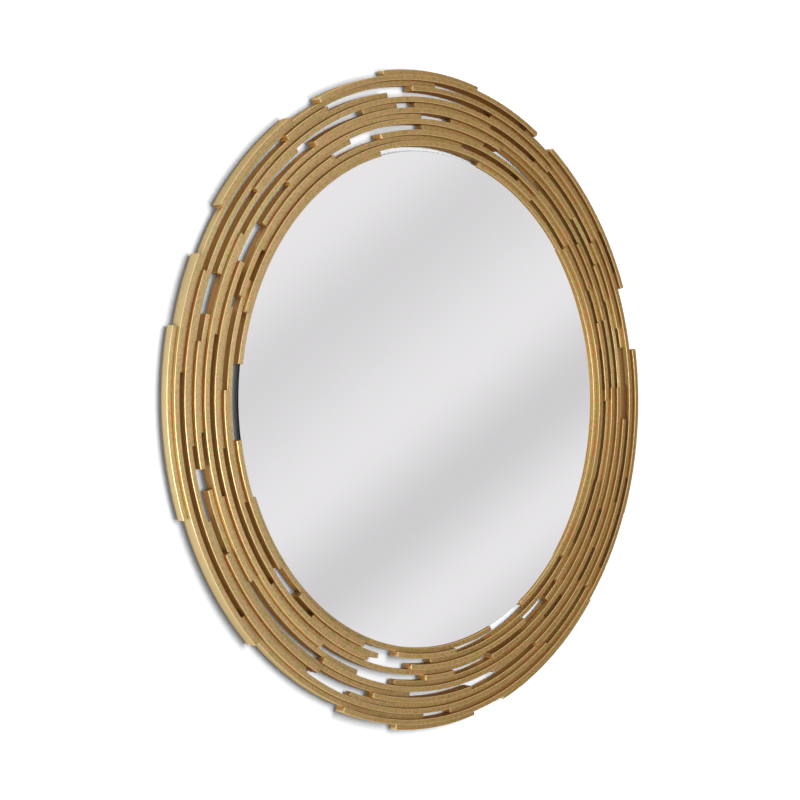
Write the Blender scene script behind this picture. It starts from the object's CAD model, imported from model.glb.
"""Round wall mirror in a frame of concentric curved strips, gilded over red bole."""
import math

import bmesh
import bpy
import numpy as np
from mathutils import Matrix, Vector


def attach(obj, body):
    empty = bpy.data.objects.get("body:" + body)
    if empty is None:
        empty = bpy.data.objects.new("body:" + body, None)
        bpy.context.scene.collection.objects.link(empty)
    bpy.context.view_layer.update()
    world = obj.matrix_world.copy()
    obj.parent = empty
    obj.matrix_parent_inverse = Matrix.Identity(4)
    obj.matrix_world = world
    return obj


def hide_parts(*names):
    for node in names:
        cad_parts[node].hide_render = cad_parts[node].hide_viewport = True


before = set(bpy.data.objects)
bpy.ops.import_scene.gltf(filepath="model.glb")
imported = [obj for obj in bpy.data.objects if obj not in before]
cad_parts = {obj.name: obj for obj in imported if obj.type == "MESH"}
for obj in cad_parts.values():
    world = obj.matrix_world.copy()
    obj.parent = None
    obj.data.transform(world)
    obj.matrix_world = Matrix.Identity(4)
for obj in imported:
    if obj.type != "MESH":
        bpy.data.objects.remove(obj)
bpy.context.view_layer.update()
scene = bpy.context.scene
scene.view_settings.view_transform = "Standard"

# The camera stands to the left of the mirror and looks at it nearly level, from 2.5 metres away.
# The sensor is 36 mm wide and the picture square, so the lens gives a narrow, calm perspective.
CAMERA_AT = Vector((-1.7896, -1.8012, -0.0179))
LOOK_TO_RIGHT = math.radians(43.745)
LOOK_UP = math.radians(0.387)
LENS_MM = 69.69
SENSOR_MM = 36.0
camera = bpy.data.objects.new("camera", bpy.data.cameras.new("camera"))
scene.collection.objects.link(camera)
scene.camera = camera
camera.data.sensor_width = SENSOR_MM
camera.data.lens = LENS_MM
camera.data.clip_start = 0.05
camera.location = CAMERA_AT
look = Vector((math.sin(LOOK_TO_RIGHT) * math.cos(LOOK_UP), math.cos(LOOK_TO_RIGHT) * math.cos(LOOK_UP),
               math.sin(LOOK_UP)))
camera.rotation_mode = "QUATERNION"
camera.rotation_quaternion = look.to_track_quat("-Z", "Y")

# The looking glass: a disc of 4 mm float glass, silvered and lacquered behind, in the first ring's rebate.
# Seen from the front it is a clean, faintly violet grey reflection, and its ground edge is nearly black.
FRONT_FACING = -0.99


def linear(code):
    """An sRGB hex colour as linear RGBA: a share c becomes c / 12.92 up to 0.04045, and
    ((c + 0.055) / 1.055) ^ 2.4 above."""
    shares = [int(code[i:i + 2], 16) / 255 for i in (0, 2, 4)]
    return [c / 12.92 if c <= 0.04045 else ((c + 0.055) / 1.055) ** 2.4 for c in shares] + [1.0]


def add(tree, kind, settings=None, **inputs):
    """Adds a node with its settings, and sets or links its inputs. An underscore in an input's name stands
    for a space, and i with a number names an input by its place. The setting 'stops' holds a colour ramp's
    stops, each a place with a hex colour or a grey value, and 'fade' says how it runs between them."""
    made = tree.nodes.new(kind)
    settings = dict(settings or {})
    stops = settings.pop("stops", [])
    if stops:
        made.color_ramp.interpolation = settings.pop("fade")
        elements = made.color_ramp.elements
        while len(elements) < len(stops):
            elements.new(1.0)
        for element, (place, colour) in zip(elements, stops):
            element.position = place
            element.color = linear(colour) if isinstance(colour, str) else [colour, colour, colour, 1.0]
    for name, value in settings.items():
        setattr(made, name, value)
    for name, value in inputs.items():
        place = int(name[1:]) if name[0] == "i" and name[1:].isdigit() else name.replace("_", " ")
        target = made.inputs[place]
        if isinstance(value, bpy.types.NodeSocket):
            tree.links.new(value, target)
        else:
            target.default_value = value
    return made


def new_material(name):
    """An empty node material with its output, as (material, tree, output)."""
    made = bpy.data.materials.new(name)
    made.use_nodes = True
    made.node_tree.nodes.clear()
    return made, made.node_tree, made.node_tree.nodes.new("ShaderNodeOutputMaterial")


def finish_with(obj, material):
    """Gives the whole piece one material."""
    obj.data.materials.clear()
    obj.data.materials.append(material)


def turned_to_wall(tree):
    """The share of the surface's direction that points at the wall: -1 in front, 1 behind, 0 on an edge."""
    normal = add(tree, "ShaderNodeTexCoord").outputs["Normal"]
    return add(tree, "ShaderNodeSeparateXYZ", Vector=normal).outputs["Y"]


glass, tree, out = new_material("silvered_float_glass")
on_front = add(tree, "ShaderNodeMath", {"operation": "LESS_THAN"}, i0=turned_to_wall(tree), i1=FRONT_FACING)
silver = add(tree, "ShaderNodeBsdfPrincipled", Base_Color=linear("F6F4F6"), Metallic=1.0, Roughness=0.0)
ground_edge = add(tree, "ShaderNodeBsdfPrincipled", Base_Color=linear("050706"), Roughness=0.5,
                  Specular_IOR_Level=0.15)
disc = add(tree, "ShaderNodeMixShader", i0=on_front.outputs[0], i1=ground_edge.outputs[0],
           i2=silver.outputs[0])
tree.links.new(disc.outputs[0], out.inputs["Surface"])
finish_with(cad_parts["mirror_glass"], glass)

# The backing: a disc of 2.5 mm hardboard that keeps the silvering from harm. Its faces are painted black and
# its edge is bare from the saw. The paint lies thin over the pressed fibres, a matt grey fleck that is drawn
# coarser than real fibres are.
MM = 0.001
FIBRE_MM = 2.38
SAWN_UP_TO = 0.5
board, tree, out = new_material("black_hardboard")
place = add(tree, "ShaderNodeTexCoord").outputs["Object"]
fibre = add(tree, "ShaderNodeTexNoise", Vector=place, Scale=1 / (FIBRE_MM * MM), Detail=6.0,
            Roughness=0.7).outputs["Fac"]
paint = add(tree, "ShaderNodeValToRGB", {"fade": "EASE", "stops": [(0.3, "0B0A09"), (0.75, "2A2622")]},
            Fac=fibre).outputs["Color"]
bare_edge = add(tree, "ShaderNodeValToRGB", {"fade": "EASE", "stops": [(0.3, "8E8984"), (0.75, "A29D97")]},
                Fac=fibre).outputs["Color"]
flatness = add(tree, "ShaderNodeMath", {"operation": "ABSOLUTE"}, i0=turned_to_wall(tree)).outputs[0]
sawn = add(tree, "ShaderNodeMath", {"operation": "LESS_THAN"}, i0=flatness, i1=SAWN_UP_TO).outputs[0]
paint = add(tree, "ShaderNodeMix", {"data_type": "RGBA"}, i0=sawn, i6=paint, i7=bare_edge).outputs[2]
bump = add(tree, "ShaderNodeBump", Height=fibre, Distance=0.0002, Strength=0.5)
coat = add(tree, "ShaderNodeBsdfPrincipled", Base_Color=paint, Roughness=0.75, Normal=bump.outputs[0])
tree.links.new(coat.outputs[0], out.inputs["Surface"])
finish_with(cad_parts["backing_board"], board)

# The frame: strips of wood, bent and glued side by side in 15 rings, odd ones low and even ones raised. Each
# pair is a strip's start and end in degrees, clockwise from the top, seen from the front. None stands for a
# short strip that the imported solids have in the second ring, from 151 to 164, and the real mirror hasn't.
RINGS = [
    [[14, 149.5], [161.5, 249], [277, 342]],
    [[49.5, 131.5], None, [174.5, 193], [203.5, 225], [233, 261.5], [287.5, 393]],
    [[27.5, 77.5], [87.5, 109.5], [126.5, 182], [198, 219], [249, 294], [301, 368]],
    [[71, 90], [110, 137], [151, 188.5], [201.5, 271.5], [290, 328.5], [342.5, 422.5]],
    [[34.5, 142], [165.5, 231.5], [260.5, 287.5], [305.5, 334.5], [355.5, 374.5]],
    [[51.5, 71], [87, 163.5], [175.5, 184], [214, 296], [315.5, 379]],
    [[4, 115], [122, 138], [145, 192], [202.5, 252], [281.5, 355.5]],
    [[58.5, 67], [87, 212], [235.5, 300.5], [325.5, 406]],
    [[30, 123.5], [132, 163.5], [187.5, 254], [264, 284.5], [292, 321.5], [340, 349], [354, 375.5]],
    [[54, 74], [94, 150.5], [171, 197.5], [212, 242.5], [258, 279.5], [309, 394]],
    [[15, 78.5], [112, 202.5], [214.5, 249], [262, 347]],
    [[148, 291], [320.5, 331.5], [353, 491.5]],
    [[25, 53.5], [63, 106], [126, 176.5], [183.5, 231.5], [274, 359.5]],
    [[32.5, 66.5], [79.5, 203.5], [226.5, 293], [302, 323], [330.5, 387.5]],
    [[79.5, 113], [132.5, 162.5], [170.5, 190], [251, 281], [347, 370.5]],
]
# Sizes in millimetres: radii are taken from the middle of the glass, and heights from the wall.
INNER_R = 402.0
PITCH = 8.75
HALF_GLUE = 0.1
FIT = 0.02
BACK = 5.0
LOW_FRONT = 19.0
RAISED_FRONT = 25.0
REBATE_R = 404.3
REBATE_FRONT = 13.5
ROUNDING = 0.8
ROUNDING_STEPS = 4
BESIDE_ROUNDING = 0.15
WALL_ROWS = (8.5, 12.0, 15.5, 19.1, 20.2, 22.0)
BACK_POINT = 1.0
END_ROUNDING = 0.45
END_TURNS = (15, 45, 75)
END_POLE_DEPTH = 5.0
# Rows along a strip in degrees: the usual step, how close a pair stands to a neighbour's end, and the slack.
ROW_STEP = 1.0
PAIR_HALF = 0.04
ROW_SLACK = 0.001
ENDS_CLEAR = 1.1
# What the finish reads: what counts as an end's edge and an open wall, and the light at seams and ends.
END_EDGE_INSET = 0.3
END_EDGE_DEPTH = 1.5
OPEN_WALL = 0.995
SEAM_LIGHT = 0.9
END_LIGHT = 0.93
BEHIND_UP_TO = BACK + 0.1
# How far the leaf's pattern moves on from strip to strip, along and across, and what scatters the tone.
LEAF_SHIFT = (370.0, 41.0)
TONE_TURN = 12.9898
TONE_SPREAD = 43758.5453
STRIP_SHARP_ANGLE = 40
SHORT_SPAN = 30


def front_of(ring):
    """The height of a ring's front over the wall: even rings are raised."""
    return RAISED_FRONT if ring % 2 == 0 else LOW_FRONT


def middle_of(ring):
    """The radius of a ring's middle: each ring is a pitch wide."""
    return INNER_R + (ring - 0.5) * PITCH


def covered(ring, angles):
    """1 where the ring has a strip at these angles, 0 in its gaps and outside the frame."""
    found = np.zeros(len(angles))
    if 1 <= ring <= len(RINGS):
        for start, end in filter(None, RINGS[ring - 1]):
            found[(angles - start) % 360 <= end - start] = 1.0
    return found


def section(ring):
    """The strip's outline as rows of radius, height, edge and side, from the inner foot over the front to
    the outer foot. Its two front corners are quarter circles of the rounding's radius, where edge is 1. Side
    is -1 on the inner wall, 1 on the outer wall, 0 on the front and 2 on the back."""
    inner = INNER_R + (ring - 1) * PITCH + (0 if ring == 1 else HALF_GLUE)
    outer = INNER_R + ring * PITCH - HALF_GLUE - FIT
    middle = (inner + outer) / 2
    front = front_of(ring)
    shoulder = front - ROUNDING
    wall = [z for z in WALL_ROWS if z < shoulder - BESIDE_ROUNDING] + [shoulder - BESIDE_ROUNDING]
    if ring == 1:
        rows = [(REBATE_R, BACK, 0, -1), (REBATE_R, REBATE_FRONT, 0, -1), (inner, REBATE_FRONT, 0, -1)]
        rows += [(inner, z, 0, -1) for z in wall if z > REBATE_FRONT]
    else:
        rows = [(inner, z, 0, -1) for z in [BACK] + wall]
    turn = np.linspace(0, np.pi / 2, ROUNDING_STEPS + 1)
    rows += [(inner + ROUNDING - ROUNDING * math.cos(t), shoulder + ROUNDING * math.sin(t), 1,
              -1 if t == turn[0] else 0) for t in turn]
    rows += [(inner + ROUNDING + BESIDE_ROUNDING, front, 0, 0), (middle, front, 0, 0),
             (outer - ROUNDING - BESIDE_ROUNDING, front, 0, 0)]
    rows += [(outer - ROUNDING + ROUNDING * math.sin(t), shoulder + ROUNDING * math.cos(t), 1,
              1 if t == turn[-1] else 0) for t in turn]
    rows += [(outer, z, 0, 1) for z in wall[::-1] + [BACK]]
    rows += [(middle + BACK_POINT, BACK, 0, 2)]
    return np.array(rows)


def rows_along(ring, start, end):
    """The angles of a strip's cross sections, and how far each is drawn in. Between the ends they are a step
    apart, with a close pair at each end of a neighbour, where the light changes. An end's corner is a
    quarter circle: at turn t it has gone 1 - cos t of the end rounding along and is still drawn in by
    1 - sin t of it."""
    lead = math.degrees(END_ROUNDING / middle_of(ring))
    count = max(2, int(math.ceil((end - start - 2 * lead) / ROW_STEP)))
    body = np.linspace(start + lead, end - lead, count)
    near_ends = [t + d for other in (ring - 2, ring - 1, ring + 1, ring + 2) if 1 <= other <= len(RINGS)
                 for pair in filter(None, RINGS[other - 1]) for t in pair for d in (-PAIR_HALF, PAIR_HALF)]
    near_ends = start + (np.array(near_ends) - start) % 360
    body = np.concatenate([body, near_ends[near_ends < end - ENDS_CLEAR * lead]])
    body = np.unique(np.round(body, 3))
    body = body[(body >= start + lead - ROW_SLACK) & (body <= end - lead + ROW_SLACK)]
    turn = np.radians(END_TURNS)
    along = np.concatenate([[0], lead * (1 - np.cos(turn))])
    drawn = np.concatenate([[END_ROUNDING], END_ROUNDING * (1 - np.sin(turn))])
    angles = np.concatenate([start + along, body, end - along[::-1]])
    return angles, np.concatenate([drawn, np.zeros(len(body)), drawn[::-1]])


def open_share(ring, way, angles, heights):
    """How open a side wall is to the light, 1 - sin(a), where a is the steepest angle from the point up to
    the front edge of any strip opposite. Way is -1 for the inner wall and 1 for the outer one."""
    steepest = np.zeros((len(angles), len(heights)))
    for away in range(1, len(RINGS)):
        other = ring + way * away
        rise = np.arctan2(front_of(other) - heights, (away - 1) * PITCH + 2 * HALF_GLUE)
        steepest = np.maximum(steepest, covered(other, angles)[:, None] * rise[None, :])
    return 1 - np.sin(steepest)


def strip_shares(ring, angles, drawn, outline):
    """What the finish reads at each point, from 0 to 1, over the angles and the outline: the rounded edges,
    the light on the walls, the valleys and seams beside a neighbour, the open rim, the back, the sunk fronts
    of the low rings, and the walls that face outward."""
    radius, height, rounded, side = outline.T
    every = np.ones((len(angles), 1))
    end_edge = (drawn > END_EDGE_INSET)[:, None] * (height > front_of(ring) - END_EDGE_DEPTH)
    edge = np.maximum(every * rounded, end_edge)
    inner_open = open_share(ring, -1, angles, height)
    outer_open = open_share(ring, 1, angles, height)
    lit = np.where(side < 0, inner_open, np.where(side == 1, outer_open, 1.0))
    beside = np.where(radius < middle_of(ring), covered(ring - 1, angles)[:, None],
                      covered(ring + 1, angles)[:, None])
    low = ring % 2 == 1
    valley = beside * (rounded > 0 if low else np.abs(side) == 1)
    if low:
        edge = edge * (1 - valley)
        lit = np.where(valley > 0, SEAM_LIGHT, lit)
    rim = (side == 1) * (lit > OPEN_WALL) * (1 - valley)
    return {"edge": edge, "lit": lit, "valley": valley, "rim": rim,
            "behind": every * (height < BEHIND_UP_TO), "sunk": every * (side == 0) * low,
            "outward": every * (side == 1)}


def closed_faces(rows, columns):
    """The faces of a grid that is closed round its columns and, at its first and last row, on a pole. The
    poles are the two points that follow the grid's own."""
    i, j = np.meshgrid(np.arange(rows - 1), np.arange(columns), indexing="ij")
    here = i * columns + j
    beside = i * columns + (j + 1) % columns
    quads = np.stack([here, beside, beside + columns, here + columns], -1).reshape(-1, 4)
    around = np.arange(columns)
    after = (around + 1) % columns
    last = (rows - 1) * columns
    pole = np.full(columns, rows * columns)
    first_fan = np.stack([pole, after, around], -1)
    last_fan = np.stack([pole + 1, last + around, last + after], -1)
    return quads.tolist() + first_fan.tolist() + last_fan.tolist()


def closed_piece(name, points, faces, sharp_angle):
    """A piece from points in metres and closed faces, which are turned outward and shaded smooth where they
    meet at less than the sharp angle."""
    mesh = bpy.data.meshes.new(name)
    mesh.from_pydata(points, [], faces)
    work = bmesh.new()
    work.from_mesh(mesh)
    bmesh.ops.recalc_face_normals(work, faces=work.faces)
    work.to_mesh(mesh)
    work.free()
    mesh.shade_smooth()
    mesh.set_sharp_from_angle(angle=math.radians(sharp_angle))
    made = bpy.data.objects.new(name, mesh)
    scene.collection.objects.link(made)
    return made


def curved_strip(name, ring, start, end, number):
    """A strip's surface: the section turned about the middle of the glass from start to end,
    P(u, v) = (r(v) sin u, -h(v), r(v) cos u). At each end the section draws in towards its middle and closes
    on a pole. The map 'along' holds the arc length and the way round the section, in metres."""
    outline = section(ring)
    angles, drawn = rows_along(ring, start, end)
    pole_r = middle_of(ring)
    pole_h = front_of(ring) - END_POLE_DEPTH
    away = outline[:, :2] - [pole_r, pole_h]
    shrink = 1 - drawn[:, None] / np.linalg.norm(away, axis=1)
    r = pole_r + away[:, 0] * shrink
    h = pole_h + away[:, 1] * shrink
    u = np.radians(angles)[:, None]
    grid = np.stack([r * np.sin(u), -h, r * np.cos(u)], -1)
    ends = np.radians([start, end])
    poles = np.stack([pole_r * np.sin(ends), [-pole_h, -pole_h], pole_r * np.cos(ends)], -1)
    points = np.concatenate([grid.reshape(-1, 3), poles]) * MM
    made = closed_piece(name, points, closed_faces(*r.shape), STRIP_SHARP_ANGLE)
    way_round = np.concatenate([[0], np.cumsum(np.linalg.norm(np.diff(outline[:, :2], axis=0), axis=1))])
    spots = np.stack(np.broadcast_arrays(u * pole_r, way_round), -1).reshape(-1, 2)
    spots = np.concatenate([spots, np.stack([ends * pole_r, [0, 0]], -1)])
    spots = (spots + np.array(LEAF_SHIFT) * number) * MM
    corner = np.zeros(len(made.data.loops), np.int32)
    made.data.loops.foreach_get("vertex_index", corner)
    layer = made.data.uv_layers.new(name="along")
    layer.data.foreach_set("uv", spots[corner].astype(np.float32).ravel())
    shares = strip_shares(ring, angles, drawn, outline)
    shares["tone"] = np.full(r.shape, math.sin(number * TONE_TURN) * TONE_SPREAD % 1.0)
    at_poles = {"lit": END_LIGHT, "tone": shares["tone"][0, 0]}
    for label, values in shares.items():
        layer = made.data.attributes.new(label, "FLOAT", "POINT")
        values = np.concatenate([values.ravel(), [at_poles.get(label, 0.0)] * 2])
        layer.data.foreach_set("value", values.astype(np.float32))
    return made


# The strips' finish: loose gold leaf laid by hand over red clay bole, then toned with a thin umber wash.
# The leaf is a soft metal sheen, mottled olive and rose; clay shows where leaves meet and in the grooves.
CLOUD_MM = 7.0
FLECK_MM = 2.6
SPECK_MM = 4.2
PATCH_MM = 24.0
gilding, tree, out = new_material("gold_leaf_over_bole")
along = add(tree, "ShaderNodeUVMap", {"uv_map": "along"}).outputs["UV"]
tone, edge, lit, valley, rim, behind, sunk, outward = [
    add(tree, "ShaderNodeAttribute", {"attribute_name": label}).outputs["Fac"]
    for label in ("tone", "edge", "lit", "valley", "rim", "behind", "sunk", "outward")]
cloud, fleck, speck, patch = [
    add(tree, "ShaderNodeTexNoise", {"noise_dimensions": "2D"}, Vector=along, Scale=1 / (size * MM),
        Detail=detail, Roughness=rough).outputs["Fac"]
    for size, detail, rough in ((CLOUD_MM, 4.0, 0.6), (FLECK_MM, 3.0, 0.65), (SPECK_MM, 1.0, 0.5),
                                (PATCH_MM, 2.0, 0.5))]
object_place = add(tree, "ShaderNodeTexCoord").outputs["Object"]
object_x = add(tree, "ShaderNodeSeparateXYZ", Vector=object_place).outputs["X"]
# The leaf's own mottle, rubbed thin in flecks, bare in specks, and a little different from strip to strip.
mottle = [(0.36, "A29854"), (0.46, "BAA466"), (0.54, "CBAB75"), (0.62, "D49B7B")]
leaf = add(tree, "ShaderNodeValToRGB", {"fade": "EASE", "stops": mottle}, Fac=cloud).outputs["Color"]
kept = add(tree, "ShaderNodeValToRGB", {"fade": "EASE", "stops": [(0.34, 0.0), (0.58, 1.0)]},
           Fac=fleck).outputs["Color"]
leaf = add(tree, "ShaderNodeMix", {"data_type": "RGBA"}, i0=kept, i6=linear("A6824A"), i7=leaf).outputs[2]
bare = add(tree, "ShaderNodeValToRGB", {"fade": "EASE", "stops": [(0.60, 0.0), (0.72, 0.38)]},
           Fac=speck).outputs["Color"]
strip_tone = add(tree, "ShaderNodeValToRGB", {"fade": "LINEAR", "stops": [(0.0, "E6E2DA"), (1.0, "FFFFFF")]},
                 Fac=tone).outputs["Color"]
# The leaf is paler towards the left, the low fronts are fresher at both sides, and it drifts over the frame.
faded = add(tree, "ShaderNodeMapRange", Value=object_x, i1=0.1, i2=-0.5, i3=0.0, i4=0.2).outputs[0]
to_side = add(tree, "ShaderNodeMapRange", Value=object_x, i1=-0.5, i2=0.5, i3=0.0, i4=1.0).outputs[0]
sides = [(0.02, 0.25), (0.25, 0.0), (0.75, 0.0), (0.98, 1.0)]
to_side = add(tree, "ShaderNodeValToRGB", {"fade": "LINEAR", "stops": sides}, Fac=to_side).outputs["Color"]
fresher = add(tree, "ShaderNodeMath", {"operation": "MULTIPLY"}, i0=to_side, i1=sunk).outputs[0]
drift = add(tree, "ShaderNodeValToRGB", {"fade": "EASE", "stops": [(0.36, "FEFFF8"), (0.64, "FFFBFF")]},
            Fac=patch).outputs["Color"]
# The corners are burnished, less so towards the right, and the open outer rim is paler.
burnish = add(tree, "ShaderNodeMapRange", Value=object_x, i1=0.12, i2=0.35, i3=1.0, i4=0.7).outputs[0]
burnish = add(tree, "ShaderNodeMath", {"operation": "MULTIPLY"}, i0=edge, i1=burnish).outputs[0]
for way, share, colour in (("MIX", bare, linear("B87C4C")), ("MULTIPLY", 1.0, strip_tone),
                           ("MIX", faded, linear("D2C6A0")), ("MULTIPLY", fresher, (1.4, 1.7, 1.85, 1)),
                           ("MULTIPLY", 1.0, drift), ("MIX", burnish, linear("D8BF8C")),
                           ("MIX", rim, linear("C1AD81"))):
    leaf = add(tree, "ShaderNodeMix", {"data_type": "RGBA", "blend_type": way}, i0=share, i6=leaf,
               i7=colour).outputs[2]
# The umber wash on the walls and the clay in the valleys, both by how open they are to the light.
wash_in = [(0.0, "8F6631"), (0.3, "B6874B"), (0.6, "A07443"), (0.75, "845831"), (0.9, "AE8E5D")]
wash_out = [(0.0, "956831"), (0.3, "BB8A50"), (0.6, "B68856"), (0.75, "A57A50"), (0.9, "C5A26F")]
grooves = [(0.45, "BF823E"), (0.7, "88511D"), (0.85, "A07940"), (1.0, "967C46")]
umber_in, umber_out, clay = [
    add(tree, "ShaderNodeValToRGB", {"fade": "LINEAR", "stops": stops}, Fac=lit).outputs["Color"]
    for stops in (wash_in, wash_out, grooves)]
umber = add(tree, "ShaderNodeMix", {"data_type": "RGBA"}, i0=outward, i6=umber_in, i7=umber_out).outputs[2]
red = add(tree, "ShaderNodeValToRGB", {"fade": "EASE", "stops": [(0.52, 0.0), (0.66, 0.55)]},
          Fac=patch).outputs["Color"]
clay = add(tree, "ShaderNodeMix", {"data_type": "RGBA"}, i0=red, i6=clay, i7=linear("B0643A")).outputs[2]
wash = add(tree, "ShaderNodeMix", {"data_type": "RGBA"}, i0=valley, i6=umber, i7=clay).outputs[2]
shaded = add(tree, "ShaderNodeValToRGB", {"fade": "LINEAR", "stops": [(0.9, 1.0), (1.0, 0.0)]},
             Fac=lit).outputs["Color"]
washed = add(tree, "ShaderNodeMath", {"operation": "MAXIMUM"}, i0=shaded, i1=valley).outputs[0]
finish = add(tree, "ShaderNodeMix", {"data_type": "RGBA"}, i0=washed, i6=leaf, i7=wash).outputs[2]
finish = add(tree, "ShaderNodeMix", {"data_type": "RGBA"}, i0=behind, i6=finish,
             i7=linear("AC8450")).outputs[2]
sheen = add(tree, "ShaderNodeValToRGB", {"fade": "LINEAR", "stops": [(0.2, 0.34), (0.8, 0.52)]},
            Fac=fleck).outputs["Color"]
metal = add(tree, "ShaderNodeMapRange", Value=valley, i1=0.0, i2=1.0, i3=0.82, i4=0.25).outputs[0]
bump = add(tree, "ShaderNodeBump", Height=cloud, Distance=0.0006, Strength=0.25)
bump = add(tree, "ShaderNodeBump", Height=fleck, Distance=0.00015, Strength=0.25, Normal=bump.outputs[0])
skin = add(tree, "ShaderNodeBsdfPrincipled", Base_Color=finish, Metallic=metal, Roughness=sheen,
           Normal=bump.outputs[0], Specular_IOR_Level=0.3, Specular_Tint=linear("C89858"))
tree.links.new(skin.outputs[0], out.inputs["Surface"])

gilded = bpy.data.collections.new("gilded_strips")
number = 0
for ring, strips in enumerate(RINGS, 1):
    raised = ring % 2 == 0
    for place_in_ring, strip in enumerate(strips, 1):
        number += 1
        if strip is None:
            continue
        start, end = strip
        node = "ring_%02d_strip_%d" % (ring, place_in_ring)
        piece = curved_strip("gilded_" + node, ring, start, end, number)
        finish_with(piece, gilding)
        piece.visible_diffuse = False
        piece.visible_glossy = ring > 1
        gilded.objects.link(piece)
        if end - start < SHORT_SPAN:
            node = "short_raised_strips" if raised else "short_low_strips"
        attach(piece, "mirror")
        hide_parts(node)

# The fixings behind: offset clips of zinc-plated sheet steel that hold the hardboard, with pan-head screws.
# Zinc plate is a soft grey sheen with a faint crystal pattern, which is drawn coarser than it is.
CRYSTAL_MM = 1.43
CLIP_ANGLES = [30, 62, 98, 129, 178, 211, 241, 290, 330]
SHEET = 1.0
HEAD_R = 2.8
HEAD_H = 1.4
FLAT_TOP_R = 1.54
TOP_STEP = 0.22
BRIM_H = 0.49
BRIM_STEPS = 7
SHANK_R = 1.3
SHANK_END = 11.0
POINT_END = 13.0
COLUMNS = 48
RECESS = 0.8
GROOVE_HALF = 0.5
GROOVE_SOFT = 0.15
GROOVE_REACH = 1.65
REACH_SOFT = 0.25
NEXT_SCREW_TURN = 0.7
SCREW_SHARP_ANGLE = 35
zinc, tree, out = new_material("zinc_plated_steel")
place = add(tree, "ShaderNodeTexCoord").outputs["Object"]
crystal = add(tree, "ShaderNodeTexNoise", Vector=place, Scale=1 / (CRYSTAL_MM * MM),
              Detail=2.0).outputs["Fac"]
plate = add(tree, "ShaderNodeValToRGB", {"fade": "EASE", "stops": [(0.3, "A9A79F"), (0.7, "C9C6BC")]},
            Fac=crystal).outputs["Color"]
haze = add(tree, "ShaderNodeValToRGB", {"fade": "LINEAR", "stops": [(0.3, 0.28), (0.7, 0.4)]},
           Fac=crystal).outputs["Color"]
steel = add(tree, "ShaderNodeBsdfPrincipled", Base_Color=plate, Metallic=1.0, Roughness=haze)
tree.links.new(steel.outputs[0], out.inputs["Surface"])
finish_with(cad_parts["retaining_clips"], zinc)


def cross_screws(name, places):
    """Pan-head screws with a cross recess, one surface for each place (x, z) of the head, which is seated on
    sheet steel: P(u, v) = (x + r(v) cos u, -h(u, v), z + r(v) sin u), where r and h follow half of the
    screw's outline. The cross is the greater of two grooves, each 1 inside and falling to 0 over its soft
    edge, times the recess."""
    seat = BACK - SHEET
    top = seat - HEAD_H
    turn = np.linspace(0, np.pi / 2, BRIM_STEPS)[1:]
    flat = np.arange(TOP_STEP, FLAT_TOP_R + TOP_STEP / 20, TOP_STEP)
    r = np.concatenate([flat, FLAT_TOP_R + (HEAD_R - FLAT_TOP_R) * np.sin(turn), [HEAD_R, SHANK_R, SHANK_R]])
    h = np.concatenate([np.full(len(flat), top), top + (HEAD_H - BRIM_H) * (1 - np.cos(turn)),
                        [seat, seat, SHANK_END]])
    r, h = r[:, None], h[:, None]
    u = np.linspace(0, 2 * np.pi, COLUMNS, endpoint=False)
    a = np.abs(r * np.cos(u))
    b = np.abs(r * np.sin(u))
    grooves = [np.clip((GROOVE_HALF - q) / GROOVE_SOFT, 0, 1)
               * np.clip((GROOVE_REACH - p) / REACH_SOFT, 0, 1) for p, q in ((a, b), (b, a))]
    deep = h + RECESS * np.maximum(*grooves) * (h < seat)
    one_screw = closed_faces(*a.shape)
    points, faces = [], []
    for count, (x, z) in enumerate(places):
        turned = u + NEXT_SCREW_TURN * count
        grid = np.stack([x + r * np.cos(turned), -deep, z + r * np.sin(turned)], -1)
        shift = count * (a.size + 2)
        points.append(np.concatenate([grid.reshape(-1, 3), [[x, -top - RECESS, z], [x, -POINT_END, z]]]))
        faces += [[corner + shift for corner in face] for face in one_screw]
    made = closed_piece(name, np.concatenate(points) * MM, faces, SCREW_SHARP_ANGLE)
    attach(made, "mirror")
    return made


clip_screws = cross_screws("cross_head_clip_screws", [
    (middle_of(2) * math.sin(t), middle_of(2) * math.cos(t)) for t in np.radians(CLIP_ANGLES)])
finish_with(clip_screws, zinc)
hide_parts("clip_screws")

# The hangers: a strap of brass-plated steel, screwed to two rings of the frame and curled round the straight
# side of a D ring, which turns in it. The plating is a warm yellow sheen with a faint mark of the rolling.
ROLLED_MM = 1.11
HANGER_X = 342.115
brass, tree, out = new_material("brass_plated_steel")
place = add(tree, "ShaderNodeTexCoord").outputs["Object"]
rolled = add(tree, "ShaderNodeTexNoise", Vector=place, Scale=1 / (ROLLED_MM * MM), Detail=3.0).outputs["Fac"]
plate = add(tree, "ShaderNodeValToRGB", {"fade": "EASE", "stops": [(0.3, "C9A65E"), (0.7, "D6B571")]},
            Fac=rolled).outputs["Color"]
haze = add(tree, "ShaderNodeValToRGB", {"fade": "LINEAR", "stops": [(0.3, 0.26), (0.7, 0.33)]},
           Fac=rolled).outputs["Color"]
skin = add(tree, "ShaderNodeBsdfPrincipled", Base_Color=plate, Metallic=1.0, Roughness=haze)
tree.links.new(skin.outputs[0], out.inputs["Surface"])
for name in ("hanger_strap_left", "hanger_strap_right", "hanger_ring_left", "hanger_ring_right"):
    finish_with(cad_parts[name], brass)
hanger_screws = cross_screws("cross_head_hanger_screws", [
    (side * HANGER_X, math.sqrt(middle_of(ring) ** 2 - HANGER_X ** 2))
    for side in (-1, 1) for ring in (3, 2)])
finish_with(hanger_screws, brass)
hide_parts("hanger_screws")

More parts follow.
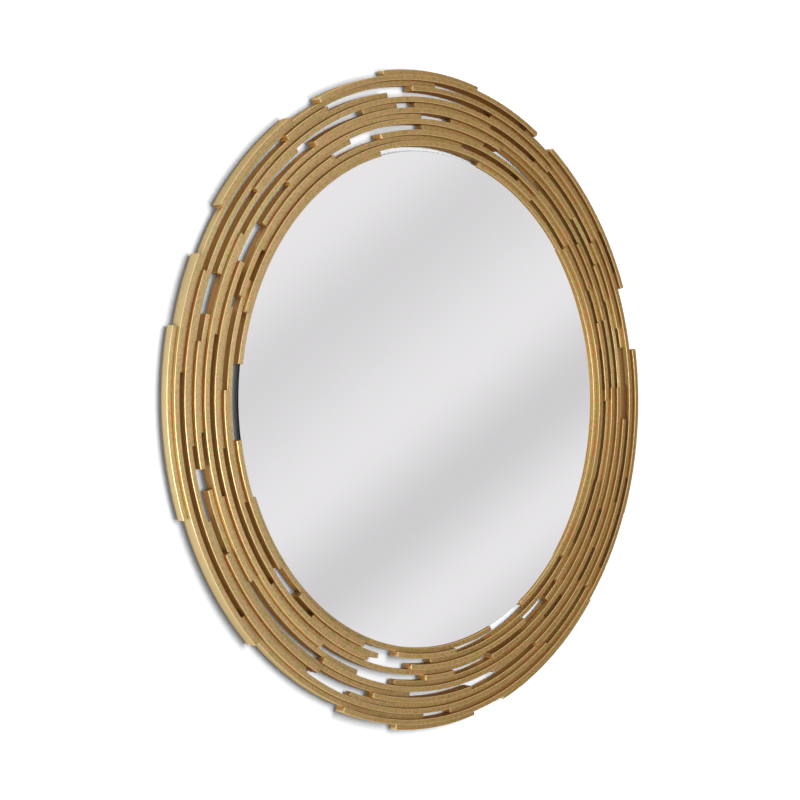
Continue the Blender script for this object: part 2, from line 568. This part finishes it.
# The bumpers: small discs of pale moulded rubber behind the frame, which rest on the wall and keep it off.
# The rubber is matt, with a fine even grain that is drawn coarser than it is.
GRAIN_MM = 0.667
rubber, tree, out = new_material("pale_rubber")
place = add(tree, "ShaderNodeTexCoord").outputs["Object"]
grain = add(tree, "ShaderNodeTexNoise", Vector=place, Scale=1 / (GRAIN_MM * MM), Detail=2.0).outputs["Fac"]
body = add(tree, "ShaderNodeValToRGB", {"fade": "EASE", "stops": [(0.3, "CFCBC1"), (0.7, "DEDBD2")]},
           Fac=grain).outputs["Color"]
bump = add(tree, "ShaderNodeBump", Height=grain, Distance=0.0001, Strength=0.3)
skin = add(tree, "ShaderNodeBsdfPrincipled", Base_Color=body, Roughness=0.6, Normal=bump.outputs[0])
tree.links.new(skin.outputs[0], out.inputs["Surface"])
finish_with(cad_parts["wall_bumpers"], rubber)

# The wall: plain white plaster that the bumpers rest on. It shows only from its own side, and to the camera
# it is a little brighter than it lights the mirror, so that it clips to white outside the mirror's shadow.
WALL_BEHIND = 0.0005
STAGE_SIDE = 4
STAGE_TOP = 3
FLOOR_AT = -1.3


def flat_stage(name, corners, material):
    """A stage surface with four given corners."""
    mesh = bpy.data.meshes.new(name)
    mesh.from_pydata(corners, [], [(0, 1, 2, 3)])
    made = bpy.data.objects.new(name, mesh)
    scene.collection.objects.link(made)
    finish_with(made, material)
    return made


def seen_directly(tree):
    """1 for what the camera sees, straight or in metal and glass, and 0 for the light that a surface hands
    on."""
    path = add(tree, "ShaderNodeLightPath")
    mirrored = add(tree, "ShaderNodeMath", {"operation": "MAXIMUM"}, i0=path.outputs["Is Glossy Ray"],
                   i1=path.outputs["Is Transmission Ray"]).outputs[0]
    return add(tree, "ShaderNodeMath", {"operation": "MAXIMUM"}, i0=path.outputs["Is Camera Ray"],
               i1=mirrored).outputs[0]


plaster, tree, out = new_material("white_plaster")
place = add(tree, "ShaderNodeTexCoord").outputs["Object"]
from_middle = add(tree, "ShaderNodeVectorMath", {"operation": "LENGTH"}, i0=place).outputs["Value"]
# Its brightness adds up three parts, each running between two distances from the middle of the glass. It is
# whiter outside the frame, whiter still far out, where less light falls, and whiter close to the glass.
OUTSIDE_FRAME = (0.50, 0.54, 1.05, 1.25)
FAR_OUT = (0.62, 1.3, 0.0, 0.6)
BESIDE_GLASS = (0.412, 0.416, 0.35, 0.0)
white = 0.0
for near, far, at_near, at_far in (OUTSIDE_FRAME, FAR_OUT, BESIDE_GLASS):
    part = add(tree, "ShaderNodeMapRange", Value=from_middle, i1=near, i2=far, i3=at_near, i4=at_far)
    white = add(tree, "ShaderNodeMath", {"operation": "ADD"}, i0=white, i1=part.outputs[0]).outputs[0]
colour = add(tree, "ShaderNodeMix", {"data_type": "RGBA"}, i0=seen_directly(tree), i6=(0.9, 0.9, 0.9, 1),
             i7=white).outputs[2]
matt = add(tree, "ShaderNodeBsdfDiffuse", Color=colour)
clear = add(tree, "ShaderNodeBsdfTransparent")
back_side = add(tree, "ShaderNodeNewGeometry").outputs["Backfacing"]
one_sided = add(tree, "ShaderNodeMixShader", i0=back_side, i1=matt.outputs[0], i2=clear.outputs[0])
tree.links.new(one_sided.outputs[0], out.inputs["Surface"])
wall_corners = [(-STAGE_SIDE, WALL_BEHIND, FLOOR_AT), (STAGE_SIDE, WALL_BEHIND, FLOOR_AT),
                (STAGE_SIDE, WALL_BEHIND, STAGE_TOP), (-STAGE_SIDE, WALL_BEHIND, STAGE_TOP)]
wall = flat_stage("wall", wall_corners, plaster)
walls = bpy.data.collections.new("wall_alone")
walls.objects.link(wall)
wall.visible_shadow = False
wall.visible_diffuse = False

# The floor: pale matt boards well below the mirror. They cast no shadow, because one lamp stands lower than
# they do. To the camera most of their tone is their own, so that the floor is even from every side.
FLOOR_FRONT = -5
FLOOR_BACK = 3
OWN_TONE = 0.8
boards, tree, out = new_material("pale_floor")
matt = add(tree, "ShaderNodeBsdfDiffuse", Color=(0.5, 0.5, 0.49, 1))
pale = add(tree, "ShaderNodeEmission", Color=(0.62, 0.62, 0.61, 1), Strength=1.0)
seen = add(tree, "ShaderNodeMath", {"operation": "MULTIPLY"}, i0=seen_directly(tree), i1=OWN_TONE).outputs[0]
top = add(tree, "ShaderNodeMixShader", i0=seen, i1=matt.outputs[0], i2=pale.outputs[0])
tree.links.new(top.outputs[0], out.inputs["Surface"])
floor_corners = [(-STAGE_SIDE, FLOOR_FRONT, FLOOR_AT), (STAGE_SIDE, FLOOR_FRONT, FLOOR_AT),
                 (STAGE_SIDE, FLOOR_BACK, FLOOR_AT), (-STAGE_SIDE, FLOOR_BACK, FLOOR_AT)]
floor = flat_stage("floor", floor_corners, boards)
floor.visible_diffuse = False
floor.visible_shadow = False

# The lamps: a large soft key in front, a little to the right and above, casts the narrow shadow to the left.
# The sheen, fill and low lamps light only the gilding, and the side lamp only the wall. The rear lamp stands
# behind the wall's plane, for the views of the back.


def soft_box(name, at, size, watts):
    """A rectangular area lamp at a point, turned to the middle of the mirror."""
    lamp = bpy.data.lights.new(name, "AREA")
    lamp.energy = watts
    lamp.shape = "RECTANGLE"
    lamp.size, lamp.size_y = size
    made = bpy.data.objects.new(name, lamp)
    scene.collection.objects.link(made)
    made.location = at
    made.visible_camera = False
    made.rotation_mode = "QUATERNION"
    made.rotation_quaternion = (-Vector(at)).to_track_quat("-Z", "Y")
    return made


key = soft_box("key", (0.18, -3.04, 0.30), (1.5, 2.2), 86)
key.visible_glossy = False
sheen_box = soft_box("sheen", (0.485, -3.04, 0.32), (1.55, 1.25), 8.2)
sheen_box.data.color = (0.9, 1.0, 1.2)
sheen_box.visible_diffuse = False
sheen_box.light_linking.receiver_collection = gilded
fill = soft_box("fill", (-2.4, -0.7, -0.7), (1.2, 1.2), 92)
fill.light_linking.receiver_collection = gilded
low = soft_box("low", (-1.1, -1.0, -1.9), (1.0, 1.0), 25)
low.light_linking.receiver_collection = gilded
low.visible_glossy = False
side = soft_box("side", (-2.0, -3.0, 0.2), (1.0, 1.0), 6)
side.visible_glossy = False
side.light_linking.receiver_collection = walls
rear = soft_box("rear", (-0.6, 3.0, 1.0), (2.0, 2.0), 40)

# The room: a weak even light from all round. What the glass reflects towards the camera is a soft grey wall
# with slanted bands, and what the gilding reflects grows dark and brown to the right. The camera sees white.
HALF_PICTURE = SENSOR_MM / 2 / LENS_MM
BAND_SLANT = 1.2
GREY_WALL_FROM = 0.945
GREY_WALL_FULL = 0.97
world = bpy.data.worlds.new("studio")
scene.world = world
world.use_nodes = True
world.cycles.sampling_method = "NONE"
tree = world.node_tree
tree.nodes.clear()
path = add(tree, "ShaderNodeLightPath")
way = add(tree, "ShaderNodeTexCoord").outputs["Generated"]
across = look.cross(Vector((0, 0, 1))).normalized()
upward = across.cross(look)
flip = Matrix.Diagonal((1, -1, 1))
ahead = add(tree, "ShaderNodeVectorMath", {"operation": "DOT_PRODUCT"}, i0=way,
            i1=flip @ look).outputs["Value"]
aside = add(tree, "ShaderNodeVectorMath", {"operation": "DOT_PRODUCT"}, i0=way,
            i1=flip @ (across - BAND_SLANT * upward)).outputs["Value"]
slant = add(tree, "ShaderNodeMath", {"operation": "DIVIDE"}, i0=aside, i1=ahead).outputs[0]
slant = add(tree, "ShaderNodeMapRange", Value=slant, i1=-HALF_PICTURE, i2=HALF_PICTURE, i3=0.0,
            i4=1.0).outputs[0]
bands = add(tree, "ShaderNodeValToRGB", {"fade": "EASE", "stops": [
    (0.125, 0.86), (0.2875, 0.72), (0.531, 0.86), (0.694, 0.67), (0.859, 0.86), (0.98, 0.70)]},
    Fac=slant).outputs["Color"]
sideways = add(tree, "ShaderNodeSeparateXYZ", Vector=way).outputs["X"]
sideways = add(tree, "ShaderNodeMapRange", Value=sideways, i1=-1.0, i2=1.0, i3=0.0, i4=1.0).outputs[0]
room = add(tree, "ShaderNodeValToRGB", {"fade": "EASE", "stops": [
    (0.0, 1.0), (0.70, 1.0), (0.80, "D8C8B4"), (0.87, "7A5E48"), (0.95, "4A3424")]},
    Fac=sideways).outputs["Color"]
grey_wall = add(tree, "ShaderNodeMapRange", Value=ahead, i1=GREY_WALL_FROM, i2=GREY_WALL_FULL, i3=0.0,
                i4=1.0).outputs[0]
reflected = add(tree, "ShaderNodeMix", {"data_type": "RGBA"}, i0=grey_wall, i6=room, i7=bands).outputs[2]
glossy = add(tree, "ShaderNodeBackground", Color=reflected, Strength=1.0)
even = add(tree, "ShaderNodeBackground", Color=(0.95, 0.98, 1, 1), Strength=0.09)
white = add(tree, "ShaderNodeBackground", Color=(1, 1, 1, 1), Strength=1.0)
around = add(tree, "ShaderNodeMixShader", i0=path.outputs["Is Glossy Ray"], i1=even.outputs[0],
             i2=glossy.outputs[0])
seen_through = add(tree, "ShaderNodeMath", {"operation": "MAXIMUM"}, i0=path.outputs["Is Camera Ray"],
                   i1=path.outputs["Is Transmission Ray"]).outputs[0]
around = add(tree, "ShaderNodeMixShader", i0=seen_through, i1=around.outputs[0], i2=white.outputs[0])
tree.links.new(around.outputs[0], tree.nodes.new("ShaderNodeOutputWorld").inputs["Surface"])
